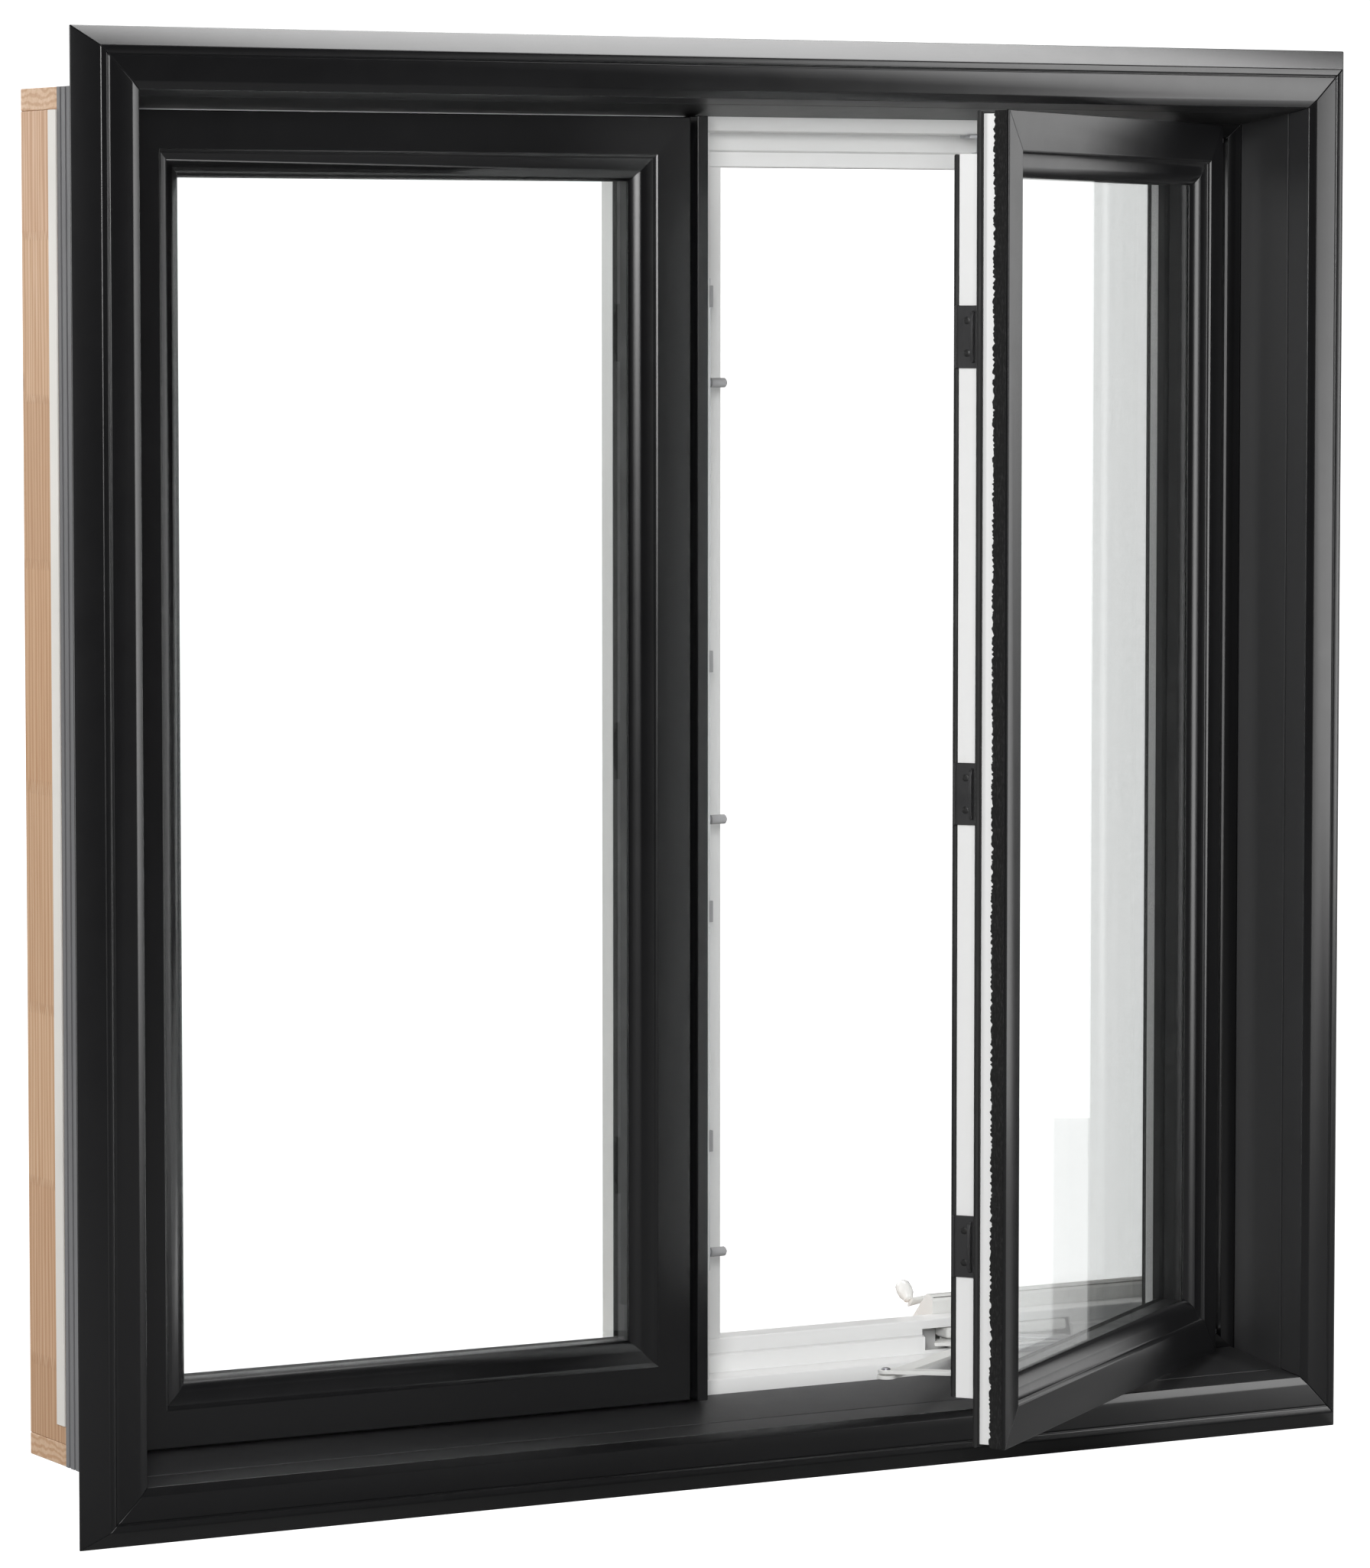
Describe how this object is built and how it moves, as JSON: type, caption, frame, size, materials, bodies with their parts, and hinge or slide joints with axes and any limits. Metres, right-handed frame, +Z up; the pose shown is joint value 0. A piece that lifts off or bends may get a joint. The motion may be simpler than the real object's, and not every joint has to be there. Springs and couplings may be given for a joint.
{
  "type": "casement window",
  "caption": "Two-light casement window in a black clad white vinyl frame with a pine jamb extension: one fixed light and one crank-operated sash on sliding hinges.",
  "frame": {"origin": "middle of the frame sill's bottom face, in the plane of the exterior casing's back", "axes": "+X to the right seen from outside, +Y from outside into the room, +Z up"},
  "size_m": [1.2, 0.4888, 1.2],
  "materials": {
    "black_cladding": "satin black outside cladding",
    "white_pvc": "smooth white vinyl",
    "pale_strip": "pale clip strip",
    "pine": "clear finger-jointed pine, unfinished",
    "glass": "clear float glass",
    "spacer": "black warm-edge spacer",
    "dark_rubber": "dark bulb seal",
    "pile": "woven pile weatherstrip",
    "hinge_steel": "stamped stainless steel",
    "keeper_metal": "black painted casting",
    "screw_steel": "bright screws",
    "gear_zinc": "cast zinc",
    "white_cover": "moulded white cover",
    "white_metal": "white powder coat",
    "shoe_brass": "cast shoe",
    "grey_plastic": "moulded guide"
  },
  "bodies": {
    "window": {"casing_sill": "black_cladding", "frame_cladding_sill": "black_cladding", "frame_sill": "white_pvc", "extension_sill": "pine", "casing_head": "black_cladding", "frame_cladding_head": "black_cladding", "frame_head": "white_pvc", "extension_head": "pine", "casing_jamb_left": "black_cladding", "frame_cladding_jamb_left": "black_cladding", "frame_jamb_left": "white_pvc", "extension_jamb_left": "pine", "casing_jamb_right": "black_cladding", "frame_cladding_jamb_right": "black_cladding", "frame_jamb_right": "white_pvc", "extension_jamb_right": "pine", "mullion_post": "white_pvc", "mullion_cap": "black_cladding", "extension_clips": "pale_strip", "left_sash_frame": "white_pvc", "left_sash_cladding": "black_cladding", "left_glass_panes": "glass", "left_sash_seals": "dark_rubber", "left_spacer": "spacer", "left_glazing_beads": "white_pvc", "hinge_tracks": "hinge_steel", "operator_base": "gear_zinc", "operator_cover": "white_cover", "lock_guides": "grey_plastic", "lock_escutcheon": "white_cover"},
    "support_arms": {"support_arms": "hinge_steel"},
    "right_sash": {"right_rail_bottom": "white_pvc", "right_rail_bottom_cladding": "black_cladding", "right_rail_top": "white_pvc", "right_rail_top_cladding": "black_cladding", "right_stile_left": "white_pvc", "right_stile_left_cladding": "black_cladding", "right_stile_right": "white_pvc", "right_stile_right_cladding": "black_cladding", "right_outer_pane": "glass", "right_inner_pane": "glass", "right_spacer": "spacer", "right_glazing_beads": "white_pvc", "right_outer_seal": "dark_rubber", "right_inner_seal": "dark_rubber", "right_pile_strip": "pile", "keepers": "keeper_metal", "keeper_screws": "screw_steel", "sash_hinge_plates": "hinge_steel", "operator_bracket": "hinge_steel"},
    "shoe_links": {"shoe_links": "hinge_steel"},
    "hinge_shoes": {"hinge_shoes": "shoe_brass"},
    "operator_arm": {"operator_arm": "hinge_steel"},
    "operator_link": {"operator_link": "hinge_steel"},
    "crank": {"crank_handle": "white_metal", "operator_worm": "gear_zinc"},
    "crank_knob": {"crank_knob": "white_cover"},
    "lock_bar": {"lock_bar": "hinge_steel", "lock_rollers": "grey_plastic"},
    "lock_lever": {"lock_lever": "white_metal"}
  },
  "joints": [
    {"name": "arm_swing", "type": "hinge", "parent": "window", "child": "support_arms", "pos_m": [0.2786, 0.072, 0.5579], "axis": [0, 0, -1], "range_deg": [-38, 37]},
    {"name": "sash_turn", "type": "hinge", "parent": "support_arms", "child": "right_sash", "pos_m": [0.38577, -0.01173, 0.5579], "axis": [0, 0, 1], "range_deg": [-76, 74]},
    {"name": "shoe_link_turn", "type": "hinge", "parent": "right_sash", "child": "shoe_links", "pos_m": [0.46851, 0.05291, 0.5579], "axis": [0, 0, -1], "range_deg": [-76, 74]},
    {"name": "shoe_turn", "type": "hinge", "parent": "shoe_links", "child": "hinge_shoes", "pos_m": [0.44408, 0.072, 0.5579], "axis": [0, 0, 1], "range_deg": [-38, 37]},
    {"name": "operator_arm_swing", "type": "hinge", "parent": "window", "child": "operator_arm", "pos_m": [0.2786, 0.072, 0.0425], "axis": [0, 0, 1], "range_deg": [-38, 37]},
    {"name": "operator_link_turn", "type": "hinge", "parent": "operator_arm", "child": "operator_link", "pos_m": [0.12149, -0.03552, 0.047], "axis": [0, 0, -1], "range_deg": [-76, 74]},
    {"name": "crank_turn", "type": "hinge", "parent": "window", "child": "crank", "pos_m": [0.3246, 0.1525, 0.0615], "axis": [0, 0.7071, 0.7071], "range_deg": [-1520, 1480]},
    {"name": "knob_spin", "type": "hinge", "parent": "crank", "child": "crank_knob", "pos_m": [0.2626, 0.1595, 0.0685], "axis": [0, 0.7071, 0.7071], "continuous": true},
    {"name": "lock_lever_turn", "type": "hinge", "parent": "window", "child": "lock_lever", "pos_m": [0.0236, 0.14, 0.3], "axis": [-1, 0, 0], "range_deg": [0, 137.5]},
    {"name": "lock_bar_slide", "type": "slide", "parent": "window", "child": "lock_bar", "axis": [0, 0, 1], "range_m": [0, 0.0401]}
  ],
  "couplings": [
    {"joint": "sash_turn", "follows": "arm_swing", "ratio": 2},
    {"joint": "shoe_link_turn", "follows": "arm_swing", "ratio": 2},
    {"joint": "shoe_turn", "follows": "arm_swing", "ratio": 1},
    {"joint": "operator_arm_swing", "follows": "arm_swing", "ratio": 1},
    {"joint": "operator_link_turn", "follows": "arm_swing", "ratio": 2},
    {"joint": "crank_turn", "follows": "arm_swing", "ratio": 40},
    {"joint": "lock_bar_slide", "follows": "lock_lever_turn", "m_per_rad": 0.016668}
  ]
}
